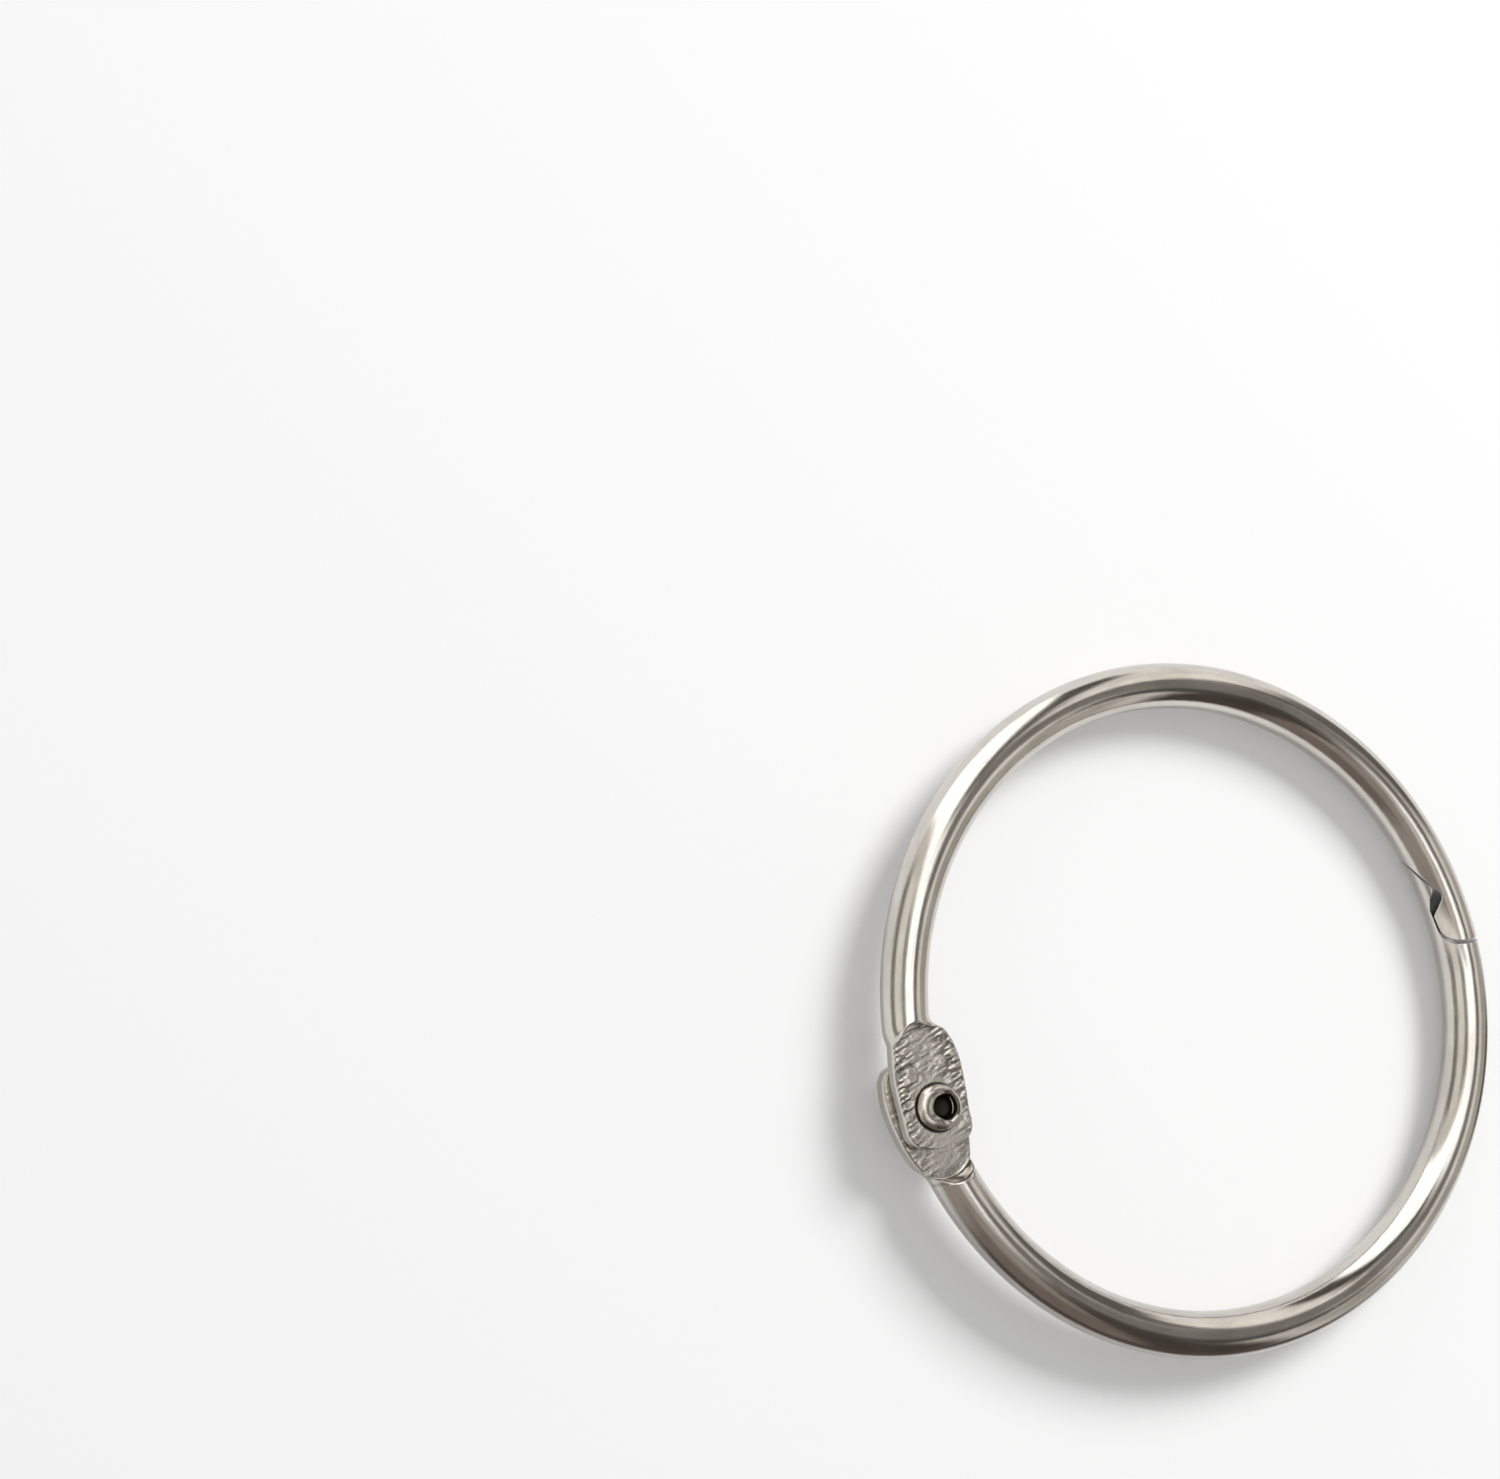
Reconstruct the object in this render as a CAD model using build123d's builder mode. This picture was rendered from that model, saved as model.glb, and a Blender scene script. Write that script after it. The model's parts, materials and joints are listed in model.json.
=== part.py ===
from build123d import *
import math
import os

# Hinged binder ring of round steel wire, closed, lying in the XY plane.
# The ring's centre is the origin, the hinge is on -X and the clasp on +X.
# The upper half has y > 0, the lower half y < 0, and the rivet's tail points to +Z.

# Ring, in millimetres
outer_diameter = 45.0
wire_diameter = 3.0

# Hinge: the two flattened wire ends, called leaves, and the rivet through them
rivet_inset = 0.4        # from the wire's centreline towards the ring's centre
leaf_thickness = 1.22
leaf_gap = 0.06          # running gap between the two leaves
leaf_flare = 2.6         # length over which a leaf widens to its full width
leaf_edge_round = 0.18   # rim of a leaf's outward face
leaf_end_round = 0.35    # corners of a leaf's free end
leaf_crown = 0.4         # radius of the pressed stretch's corners
shoulder_ramp = 1.2      # length over which the round wire is pressed down to a leaf
shoulder_lap = 0.3       # how far the pressed stretch starts inside the round wire
shoulder_step = 0.02     # between the pressed stretch's surface and the wire's or the leaf's

upper_leaf_width = 4.7
upper_leaf_reach = 5.8   # from the rivet to where the wire is round
upper_leaf_tail = 2.3    # from the rivet to the free end
upper_leaf_lean = 6.0    # degrees between the leaf and the Y axis
upper_leaf_shift = 0.0   # of the leaf's middle, outward from the rivet
upper_end_slant = 0.9    # how much shorter the free end is on the ring's outside

lower_leaf_width = 5.1
lower_leaf_reach = 4.5
lower_leaf_tail = 3.1
lower_leaf_lean = 5.0
lower_leaf_shift = 0.35
lower_end_slant = 0.5

# Rivet, half tubular, with its head under the lower leaf and its tail rolled over the upper
shank_diameter = 2.0
shank_clearance = 0.05   # radial, in the upper leaf, which turns on the shank
head_diameter = 3.7
head_height = 1.6
tail_diameter = 2.7
tail_height = 0.55
tail_rim = 0.15          # straight part of the tail's outside
tail_gap = 0.05          # running gap under the tail
dimple_diameter = 1.5
dimple_taper = 0.15      # radius that the dimple loses towards its floor
dimple_depth = 1.1

# Clasp: the hooks are drawn in (s, a) coordinates from the wire's centre at mid clasp.
# s runs across the wire towards the ring's outside, and a along it towards the upper half.
clasp_lean = 28.0        # degrees that the hooks' cut leans from the Z axis to the ring's centre
hook_length = 2.5        # from mid clasp to the outer hook's tip, at the wire's surface
hook_tip_slope = 0.24    # how fast the tip falls back towards the ring's inside
hook_depth = 1.05        # from the wire's centre to the outer hook's inner side
hook_taper = 0.1         # depth that the hook loses towards its tip
hook_heel = 0.15         # from mid clasp to the end of the outer hook's inner side
hook_tip_round = 1.15
hook_heel_round = 0.3
notch_depth = 0.1        # from the wire's centre to the notch's floor
notch_place = 1.05       # from mid clasp to the notch's floor
notch_round = 0.45
taper_place = 5.0        # from mid clasp to a point on the notch's long side, outside the wire
taper_depth = 2.45       # how deep that point lies from the wire's centre
tip_gap = 0.25           # between the outer hook's tip and the shoulder it faces
neck_gap = 0.1           # between the outer hook's inner side and the inner hook's neck
neck_length = 0.25       # from mid clasp to where the neck rises to the tooth
tooth_height = 0.35      # of the inner hook's tooth above its neck
tooth_slope = 0.1        # height that the tooth loses towards its end
tooth_place = 1.4        # from mid clasp to the tooth's top
tooth_length = 0.55
tooth_round = 0.3
tooth_run_out = 1.35     # length over which the inner hook's tip falls away
tip_fall = 1.0           # depth that it falls

# Places and sizes that follow from the values above
wire_radius = wire_diameter / 2
ring_radius = outer_diameter / 2 - wire_radius
rivet_x = rivet_inset - ring_radius
leaf_face = leaf_gap / 2
leaf_back = leaf_face + leaf_thickness
pressed_thickness = leaf_thickness - 2 * shoulder_step
cut_width = 2 * wire_diameter
upper_overrun = math.degrees((hook_length + wire_radius) / ring_radius)
lower_overrun = math.degrees((tooth_place + tooth_length + tooth_run_out) / ring_radius)


def polar_plane(angle):
    """Plane through the Z axis whose x axis points outward at this polar angle."""
    turn = math.radians(angle)
    outward = (math.cos(turn), math.sin(turn), 0)
    return Plane(origin=(0, 0, 0), x_dir=outward, z_dir=(outward[1], -outward[0], 0))


def wire_arc(start, end):
    """Round wire bent along the ring between two polar angles."""
    with BuildPart() as wire:
        with BuildSketch(polar_plane(start)):
            with Locations((ring_radius, 0)):
                Circle(wire_radius)
        revolve(axis=Axis.Z, revolution_arc=end - start)
    return wire.part


def leaf_plane(side, lean, shift, height):
    """Plane of a leaf: y runs from the rivet towards the leaf's own wire, x inward."""
    turn = math.radians(lean)
    return Plane(
        origin=(rivet_x - shift, 0, side * height),
        x_dir=(math.cos(turn), -side * math.sin(turn), 0),
        z_dir=(0, 0, side),
    )


def leaf_plate(base, width, reach, tail, slant):
    """Flat part of a leaf: a paddle that widens from the shoulder and ends past the rivet."""
    half = width / 2
    neck = wire_radius - leaf_edge_round
    start = reach - shoulder_ramp / 2
    with BuildPart() as plate:
        with BuildSketch(base):
            with BuildLine():
                inner = Bezier(
                    (neck, start),
                    (half, start - leaf_flare / 4),
                    (half, start - leaf_flare / 2),
                    (half, start - leaf_flare),
                )
                outer = Bezier(
                    (-neck, start),
                    (-half, start - leaf_flare / 4),
                    (-half, start - leaf_flare / 2),
                    (-half, start - leaf_flare),
                )
                FilletPolyline(
                    inner @ 1,
                    (half, -tail),
                    (-half, slant - tail),
                    outer @ 1,
                    radius=leaf_end_round,
                )
                Line(outer @ 0, inner @ 0)
            make_face()
        extrude(amount=leaf_thickness)
        rim = plate.faces().sort_by(Axis(base.origin, base.z_dir))[-1]
        fillet(rim.edges(), leaf_edge_round)
    return plate.part


def hinge_angle(reach):
    """Polar angle between the hinge and a point of the wire this far along from the rivet."""
    return math.degrees(math.asin(reach / ring_radius))


def leaf_shoulder(side, base, width, reach):
    """The wire's round section pressed down to the leaf's flat one."""
    wire_end = polar_plane(180 - side * hinge_angle(reach + shoulder_lap))
    wire_centre = wire_end.from_local_coords((ring_radius, 0, 0))
    leaf_centre = base.from_local_coords((0, reach - shoulder_ramp, leaf_thickness / 2))
    with BuildPart() as shoulder:
        with BuildSketch(Plane(wire_centre, x_dir=wire_end.x_dir, z_dir=wire_end.z_dir)):
            Circle(wire_radius - shoulder_step)
        with BuildSketch(Plane(leaf_centre, x_dir=-base.x_dir, z_dir=side * base.y_dir)):
            RectangleRounded((wire_diameter + width) / 2, pressed_thickness, leaf_crown)
        loft()
    return shoulder.part


def half_ring(side, angles, width, reach, tail, lean, shift, slant):
    """Wire, shoulder and leaf of one half, before its rivet hole and its hook are cut."""
    base = leaf_plane(side, lean, shift, leaf_face)
    with BuildPart() as half:
        add(wire_arc(*angles))
        add(leaf_shoulder(side, base, width, reach))
        add(leaf_plate(base, width, reach, tail, slant))
    return half.part


# Clasp plane: x is s, y is a, and the hooks are cut along its normal
cut_lean = math.radians(clasp_lean)
clasp_plane = Plane(
    origin=(ring_radius, 0, 0),
    x_dir=(math.cos(cut_lean), 0, math.sin(cut_lean)),
    z_dir=(-math.sin(cut_lean), 0, math.cos(cut_lean)),
)


def tip_line(depth, gap):
    """Points far outside the wire and at this depth on the outer hook's end, or facing it at a gap."""
    surface = -hook_length - gap
    return [
        (cut_width, surface - hook_tip_slope * (cut_width - wire_radius)),
        (-depth, surface + hook_tip_slope * (depth + wire_radius)),
    ]


# Upper half: the outer hook's outline has the notch behind it
with BuildPart() as upper_half_ring:
    add(half_ring(
        1,
        (-upper_overrun, 180 - hinge_angle(upper_leaf_reach)),
        upper_leaf_width,
        upper_leaf_reach,
        upper_leaf_tail,
        upper_leaf_lean,
        upper_leaf_shift,
        upper_end_slant,
    ))
    with BuildSketch(Plane((rivet_x, 0, 0))):
        Circle(shank_diameter / 2 + shank_clearance)
    extrude(amount=cut_width, both=True, mode=Mode.SUBTRACT)
    with BuildSketch(clasp_plane):
        with BuildLine():
            hook = FilletPolyline(
                *tip_line(hook_depth - hook_taper, 0),
                (-hook_depth, -hook_heel),
                (-notch_depth, notch_place),
                (-taper_depth, taper_place),
                radius=[hook_tip_round, hook_heel_round, notch_round],
            )
            Polyline(
                hook @ 1,
                (-cut_width, taper_place),
                (-cut_width, -cut_width),
                (cut_width, -cut_width),
                hook @ 0,
            )
        make_face()
    extrude(amount=cut_width, both=True, mode=Mode.SUBTRACT)
upper_half_ring.part.label = "upper_half_ring"

# Lower half: the inner hook's neck passes the outer hook and its tooth lies in the notch
neck_depth = hook_depth + neck_gap
tooth_end = tooth_place + tooth_length
with BuildPart() as lower_half_ring:
    add(half_ring(
        -1,
        (180 + hinge_angle(lower_leaf_reach), 360 + lower_overrun),
        lower_leaf_width,
        lower_leaf_reach,
        lower_leaf_tail,
        lower_leaf_lean,
        lower_leaf_shift,
        lower_end_slant,
    ))
    with BuildSketch(Plane((rivet_x, 0, 0))):
        Circle(shank_diameter / 2)
    extrude(amount=cut_width, both=True, mode=Mode.SUBTRACT)
    with BuildSketch(clasp_plane):
        with BuildLine():
            hook = FilletPolyline(
                *tip_line(neck_depth - hook_taper, tip_gap),
                (-neck_depth, neck_length),
                (tooth_height - neck_depth, tooth_place),
                (tooth_height - tooth_slope - neck_depth, tooth_end),
                (-neck_depth - tip_fall, tooth_end + tooth_run_out),
                radius=[hook_tip_round + tip_gap / 2, hook_heel_round, tooth_round, tooth_round],
            )
            Polyline(hook @ 1, ((hook @ 1).X, cut_width), (cut_width, cut_width), hook @ 0)
        make_face()
    extrude(amount=cut_width, both=True, mode=Mode.SUBTRACT)
lower_half_ring.part.label = "lower_half_ring"

# Rivet, turned about its own axis
head_seat = -leaf_back
tail_seat = leaf_back + tail_gap
tail_top = tail_seat + tail_height
head_sphere = ((head_diameter / 2) ** 2 + head_height ** 2) / (2 * head_height)
with BuildPart() as hinge_rivet:
    with BuildSketch(Plane((rivet_x, 0, 0), x_dir=(1, 0, 0), z_dir=(0, -1, 0))):
        with BuildLine():
            dome = RadiusArc(
                (0, head_seat - head_height),
                (head_diameter / 2, head_seat),
                -head_sphere,
            )
            shank = Polyline(
                dome @ 1,
                (shank_diameter / 2, head_seat),
                (shank_diameter / 2, tail_seat),
                (tail_diameter / 2, tail_seat),
                (tail_diameter / 2, tail_seat + tail_rim),
            )
            roll = ThreePointArc(
                shank @ 1,
                ((tail_diameter + dimple_diameter) / 4, tail_top),
                (dimple_diameter / 2, tail_seat + tail_rim),
            )
            Polyline(
                roll @ 1,
                (dimple_diameter / 2 - dimple_taper, tail_top - dimple_depth),
                (0, tail_top - dimple_depth),
                dome @ 0,
            )
        make_face()
    revolve(axis=Axis((rivet_x, 0, 0), (0, 0, 1)))
hinge_rivet.part.label = "hinge_rivet"

os.makedirs("parts", exist_ok=True)
export_step(upper_half_ring.part, "parts/upper_half_ring.step")
export_step(lower_half_ring.part, "parts/lower_half_ring.step")
export_step(hinge_rivet.part, "parts/hinge_rivet.step")
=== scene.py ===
import json
import math
from collections import namedtuple

import bmesh
import bpy
import numpy as np
from mathutils import Matrix, Vector


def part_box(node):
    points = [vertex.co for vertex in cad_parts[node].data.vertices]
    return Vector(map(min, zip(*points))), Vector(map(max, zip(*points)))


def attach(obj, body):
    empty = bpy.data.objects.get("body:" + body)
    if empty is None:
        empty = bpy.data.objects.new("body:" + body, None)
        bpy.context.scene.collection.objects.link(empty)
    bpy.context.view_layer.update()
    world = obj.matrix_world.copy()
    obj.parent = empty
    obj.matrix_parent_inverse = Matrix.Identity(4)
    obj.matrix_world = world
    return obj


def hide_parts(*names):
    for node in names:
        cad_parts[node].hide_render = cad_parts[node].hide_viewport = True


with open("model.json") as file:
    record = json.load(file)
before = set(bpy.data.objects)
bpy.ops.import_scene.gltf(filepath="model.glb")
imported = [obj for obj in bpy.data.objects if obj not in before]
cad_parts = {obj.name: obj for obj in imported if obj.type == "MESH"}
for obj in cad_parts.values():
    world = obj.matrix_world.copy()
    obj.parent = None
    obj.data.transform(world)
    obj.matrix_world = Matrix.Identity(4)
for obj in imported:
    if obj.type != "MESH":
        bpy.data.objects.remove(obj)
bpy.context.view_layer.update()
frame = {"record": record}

# Lengths are in millimetres in the part's frame, and are scaled once, when a mesh is made
MM = 0.001

# Places that the frame gives
record = frame["record"]
mounts = {mount["name"]: mount for mount in record["mounts"]}
RING_R = mounts["upper_wire"]["pos_m"][1] / MM    # the wire's centreline
RIVET_X = record["behaviour"]["joints"][0]["pos_m"][0] / MM
RIVET_HEAD_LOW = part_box("hinge_rivet")[0].z / MM

# Sizes of the wire, the leaves and the rivet
WIRE_R = 1.5
LEAF_FACE = 1.25         # from the ring's mid-plane to a leaf's stamped face
LEAF_GAP = 0.03          # from the mid-plane to the face that lies on the other leaf
LEAF_HALF = 0.76         # half the leaf's thickness before the dies cut it
LEAF_HALF_WIDTH = 2.2
LEAF_CORNER = 0.5
BORE_R = 1.0             # the rivet's shank and its hole through the leaves
BORE_DEPTH = 0.6
TAIL_R = 1.45            # the rivet's rolled tail
CLASP_LEAN = math.radians(28.0)
CLASP_SHEAR = -0.1       # how much the cut runs along the wire from its back to its front

# Points round a section of wire or leaf: as kept, and while it is being shaped
AROUND = 192
DENSE = 640


# Camera
CAMERA_PLACE = (-85.67, 18.25, 141.02)
CAMERA_AIM = (-24.22, 25.03, 0.0)
CAMERA_ROLL = math.radians(18.35)


def add_object(name, data):
    item = bpy.data.objects.new(name, data)
    bpy.context.scene.collection.objects.link(item)
    return item


def make_camera():
    """The photograph's camera: place, direction and lens, found from the ring's outline."""
    data = bpy.data.cameras.new("camera")
    data.sensor_fit = "HORIZONTAL"
    data.sensor_width = 36.0
    data.lens = 60.0
    data.clip_start = 0.005
    data.clip_end = 20.0
    look = (Vector(CAMERA_AIM) - Vector(CAMERA_PLACE)).normalized()
    level_right = look.cross(Vector((0, 1, 0))).normalized()
    level_up = level_right.cross(look)
    up = level_up * math.cos(CAMERA_ROLL) + level_right * math.sin(CAMERA_ROLL)
    turn = Matrix((look.cross(up), up, -look)).transposed()
    camera = add_object("camera", data)
    camera.matrix_world = Matrix.Translation(Vector(CAMERA_PLACE) * MM) @ turn.to_4x4()
    bpy.context.scene.camera = camera


# Mathematics
def ramp(value, low=0.0, high=1.0):
    """0 at low, 1 at high and smooth between them. low may be the larger of the two."""
    t = np.clip((value - low) / (high - low), 0.0, 1.0)
    return t * t * (3.0 - 2.0 * t)


def blend(a, b, share):
    return a * (1 - share) + b * share


def distances(points):
    """How far along a line each of its points lies."""
    steps = np.linalg.norm(np.diff(points, axis=0), axis=1)
    return np.concatenate([[0.0], np.cumsum(steps)])


def resample(points, count):
    """Closed outline to count points at equal distances in its first two columns, from its first point."""
    loop = np.vstack([points, points[:1]])
    at = distances(loop[:, :2])
    want = np.linspace(0.0, at[-1], count, endpoint=False)
    return np.stack([np.interp(want, at, column) for column in loop.T], 1)


def walk(points, step):
    """Open outline to points at equal distances."""
    at = distances(points)
    want = np.arange(0.0, at[-1], step)
    return np.stack([np.interp(want, at, column) for column in points.T], 1)


def fillet_path(points, radii, turns=24):
    """Open outline with its inner corners rounded."""
    out = [np.array(points[0], float)]
    for k, radius in enumerate(radii, 1):
        before, corner, after = (np.array(p, float) for p in points[k - 1:k + 2])
        u = (before - corner) / np.linalg.norm(before - corner)
        v = (after - corner) / np.linalg.norm(after - corner)
        half = math.acos(float(np.clip(u @ v, -1, 1))) / 2
        start, end = corner + u * radius / math.tan(half), corner + v * radius / math.tan(half)
        centre = corner + (u + v) / np.linalg.norm(u + v) * radius / math.sin(half)
        first = math.atan2(*(start - centre)[::-1])
        last = math.atan2(*(end - centre)[::-1])
        last = first + (last - first + math.pi) % (2 * math.pi) - math.pi
        for angle in np.linspace(first, last, turns):
            out.append(centre + radius * np.array([math.cos(angle), math.sin(angle)]))
    out.append(np.array(points[-1], float))
    return np.array(out)


def lattice_noise(x, y, seed, size=64):
    """Smooth noise from -1 to 1 over a plane, with cells of size 1."""
    table = np.random.default_rng(seed).uniform(-1, 1, (size, size))
    ix, iy = np.floor(x).astype(int), np.floor(y).astype(int)
    fx, fy = ramp(x - ix), ramp(y - iy)
    ix, iy = ix % size, iy % size
    jx, jy = (ix + 1) % size, (iy + 1) % size
    low = blend(table[ix, iy], table[jx, iy], fx)
    high = blend(table[ix, jy], table[jx, jy], fx)
    return blend(low, high, fy)


def waves(angle, terms):
    """Sum of cosines round a circle, each term giving its height, its count and where it starts."""
    return sum(height * np.cos(count * angle + start) for height, count, start in terms)


# Sections of the wire
def rectangle_section(low, high, centre, half, radius, corner_points=40):
    """Rounded rectangle in (x, z), from the middle of its underside, towards low x first."""
    almost = 0.999
    radius = min(radius, half * almost, (high - low) / 2 * almost)
    corners = (
        (low + radius, centre - half + radius, -90),
        (low + radius, centre + half - radius, -180),
        (high - radius, centre + half - radius, -270),
        (high - radius, centre - half + radius, -360),
    )
    out = [((low + high) / 2, centre - half)]
    for x, z, start in corners:
        for angle in np.radians(np.linspace(start, start - 90, corner_points)):
            out.append((x + radius * math.cos(angle), z + radius * math.sin(angle)))
    return resample(np.array(out), DENSE)


def torus_section(y, sign, start):
    """The round wire cut at constant y, in (x, z). sign is the side of the ring in x."""
    angle = np.radians(start) + np.linspace(0, 2 * np.pi, DENSE, endpoint=False)
    out = RING_R + WIRE_R * np.cos(angle)
    return np.stack([sign * np.sqrt(out ** 2 - y ** 2), WIRE_R * np.sin(angle)], 1)


# Leaves

# Edges as (v, x): v runs from the rivet along the leaf's own wire, and x across it from the rivet
UPPER_INNER = (
    (-2.42, 0.9), (-2.40, 1.25), (-2.3, 1.55), (-2.0, 1.88), (-0.74, 2.13), (0.24, 2.31),
    (1.39, 2.50), (2.4, 2.60), (3.47, 2.50), (4.34, 2.24), (5.2, 1.86), (6.0, 2.0),
)
UPPER_OUTER = (
    (-2.42, -0.5), (-2.36, -0.95), (-2.2, -1.45), (-2.0, -1.85), (-1.6, -2.25), (-1.15, -2.42), (0.0, -2.36),
    (1.15, -2.27), (2.28, -2.12), (3.63, -1.79), (4.54, -1.5), (5.2, -1.3), (6.0, -1.1),
)
LOWER_INNER = (
    (-3.2, 0.2), (-3.15, 0.7), (-2.9, 1.2), (-2.4, 1.7), (-1.2, 2.05), (0.0, 2.15),
    (1.5, 2.2), (2.77, 2.08), (3.6, 1.8), (4.2, 1.56), (5.0, 1.7),
)
LOWER_OUTER = (
    (-3.2, -1.2), (-3.1, -1.6), (-2.67, -2.2), (-1.9, -2.52), (-0.7, -2.7), (0.66, -2.62),
    (2.0, -2.4), (3.0, -2.08), (3.8, -1.7), (4.4, -1.52), (5.0, -1.35),
)

# A die lifts off the wire beyond start, sooner away from the middle by bow, and as steeply as rise says
Die = namedtuple("Die", "start bow rise")

# Stamped patterns: the size of a cell along a bar and across it, where the noise starts, and its seed
Pattern = namedtuple("Pattern", "length width first_u first_w seed")
BARS = Pattern(0.52, 0.145, 9, 40, 11)
PEBBLES = Pattern(0.26, 0.17, 3, 20, 31)
BAR_ACROSS, BAR_ALONG = 0.98, 0.195
BAR_SHARPNESS = 3.0
BAR_HEIGHT, PEBBLE_HEIGHT = 0.062, 0.022

# How much relief is left in the leaf's middle, and where it fades: in half widths from the middle, and in
# millimetres round the rivet, at the leaf's free end, towards its neck and from its worn end inwards
MIDDLE_BARS, MIDDLE_PEBBLES = 0.14, 0.4
MIDDLE_TO_RIM = (0.25, 0.65)
ROUND_RIVET = (1.35, 2.25)
FREE_END, NECK_END = (-2.3, -1.8), (5.3, 4.7)
WORN_END = (-1.2, 0.4)
EVEN_LOW, EVEN_HIGH = -2.0, 4.5     # beyond these the middle is taken as it is here
BACK_SHARE, BACK_SUNK = 0.5, 0.03   # the other face's relief, and how far all of it is sunk

# How deep under a face a point stops counting as on it, and where it counts fully
FACE_BAND, BACK_BAND = (0.16, 0.04), (0.12, 0.02)


def outline(table, v):
    """Leaf edge at v: a smooth curve through the table's points."""
    at, x = np.array(table).T
    slope = np.gradient(x, at)
    k = int(np.clip(np.searchsorted(at, v) - 1, 0, len(at) - 2))
    span = at[k + 1] - at[k]
    t = np.clip((v - at[k]) / span, 0, 1)
    secant = (x[k + 1] - x[k]) / span
    m0, m1 = (np.clip(slope[j], -3 * abs(secant), 3 * abs(secant)) for j in (k, k + 1))
    return ((2 * t ** 3 - 3 * t ** 2 + 1) * x[k] + (t ** 3 - 2 * t ** 2 + t) * span * m0
            + (-2 * t ** 3 + 3 * t ** 2) * x[k + 1] + (t ** 3 - t ** 2) * span * m1)


class Leaf:
    """One leaf: it ends at -tail, is flat up to flat and is round wire again from round."""

    def __init__(self, side):
        self.side = side
        self.face, self.back = side * LEAF_FACE, side * LEAF_GAP
        if side > 0:
            self.inner, self.outer = UPPER_INNER, UPPER_OUTER
            self.tail, self.flat, self.round = 2.42, 4.3, 5.7
            self.face_die, self.back_die = Die(4.85, 0.12, 0.9), Die(4.45, 0.10, 1.35)
            self.worn, self.fresh, self.back_relief = 0.35, 1.0, 0.3
        else:
            self.inner, self.outer = LOWER_INNER, LOWER_OUTER
            self.tail, self.flat, self.round = 3.2, 3.2, 4.6
            self.face_die, self.back_die = Die(4.1, 0.10, 0.9), Die(4.46, 0.26, 28.0)
            self.worn, self.fresh, self.back_relief = 0.45, 0.45, 0.8

    def lifted(self, die, x, v):
        """How far the die's surface is off the flat leaf at this place."""
        beyond = np.maximum(v - (die.start - die.bow * (x - RIVET_X) ** 2), 0.0)
        return die.rise * beyond * beyond

    def section(self, v):
        """The leaf and the wire that it grows from, cut at v, in (x, z)."""
        wire = resample(torus_section(self.side * v, -1, -90.0), AROUND)
        if v < self.round:
            share = ramp(v, self.round, self.flat)
            low, high = RIVET_X + outline(self.outer, v), RIVET_X + outline(self.inner, v)
            middle = (self.face + self.back) / 2 * share
            radius, half = blend(WIRE_R, LEAF_CORNER, share), blend(WIRE_R, LEAF_HALF, share)
            leaf = resample(rectangle_section(low, high, middle, half, radius), AROUND)
            wire = blend(wire, leaf, share)
        fine = resample(wire, DENSE)
        x, outward = fine[:, 0], self.side * fine[:, 1]
        outward = np.minimum(outward, LEAF_FACE + self.lifted(self.face_die, x, v))
        outward = np.maximum(outward, LEAF_GAP - self.lifted(self.back_die, x, v))
        return resample(np.column_stack([x, self.side * outward]), AROUND)

    def pattern(self, u, w, kind):
        seed = kind.seed + self.side
        return lattice_noise(u / kind.length + kind.first_u, w / kind.width + kind.first_w, seed)

    def relief(self, x, v, z):
        """Stamped relief of the flat faces: short bars across the leaf, weaker in the middle."""
        across, along = x - RIVET_X, self.side * v
        u = across * BAR_ACROSS + along * BAR_ALONG
        w = -across * BAR_ALONG + along * BAR_ACROSS
        bars = np.tanh(BAR_SHARPNESS * self.pattern(u, w, BARS))
        pebbles = self.pattern(u, w, PEBBLES)
        even = np.clip(v, EVEN_LOW, EVEN_HIGH)
        middle = (outline(self.inner, even) + outline(self.outer, even)) / 2
        rim = blend(MIDDLE_BARS, 1, ramp(np.abs(across - middle) / LEAF_HALF_WIDTH, *MIDDLE_TO_RIM))
        height = BAR_HEIGHT * bars * rim + PEBBLE_HEIGHT * pebbles * blend(MIDDLE_PEBBLES, 1, rim)
        place = ramp(v, *FREE_END) * ramp(v, *NECK_END) * ramp(np.hypot(across, along), *ROUND_RIVET)
        wear = blend(self.worn, self.fresh, ramp(v, *WORN_END))
        face, back = self.flatness(z)
        pressed = height * face - BACK_SHARE * (height + BACK_SUNK) * self.back_relief * back
        return self.side * pressed * place * wear

    def flatness(self, z):
        """How much a height belongs to the stamped face, and to the face that lies on the other leaf."""
        outward = self.side * z
        face = ramp(outward, LEAF_FACE - FACE_BAND[0], LEAF_FACE - FACE_BAND[1])
        return face, ramp(outward, LEAF_GAP + BACK_BAND[0], LEAF_GAP + BACK_BAND[1])


# Hooks of the clasp

# Outlines as (s, a): s runs across the wire, leaned by CLASP_LEAN, and a along it from the ring's mid-line
UPPER_HOOK = ((6.0, -3.58), (-0.95, -1.912), (-1.05, -0.15), (-0.1, 1.05), (-2.45, 5.0))
UPPER_ROUNDS = (1.15, 0.3, 0.45)
LOWER_HOOK = ((6.0, -3.83), (-1.05, -2.138), (-1.15, 0.25), (-0.8, 1.4), (-0.86, 2.02), (-2.15, 4.5))
LOWER_ROUNDS = (1.275, 0.3, 0.3, 0.3)
HOOK_LEAD, HOOK_LEAD_STEP = 5.1, 0.1      # where the uncut sections start, and their spacing
HOOK_JOIN = 0.03         # how far past the first cut section they may go
HOOK_LOW, HOOK_HIGH = -3.2, 5.0
HOOK_STEP = 0.06
HOOK_FINE_STEP = HOOK_STEP / 11
HOOK_PAST = 0.35         # how far beyond the wire's skin the outline is followed
SHEAR_ZONE = (5.2, 4.0)  # where along the wire the cut's shear sets in
CHORD_POINTS = 60        # points across the cut
FEWEST_POINTS = 3        # a section with fewer points left is no section


def section_start(side):
    """Where round the wire a hook's sections begin, in degrees, so that the cut never crosses it."""
    lean = math.degrees(CLASP_LEAN)
    return lean if side > 0 else lean - 180


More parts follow.
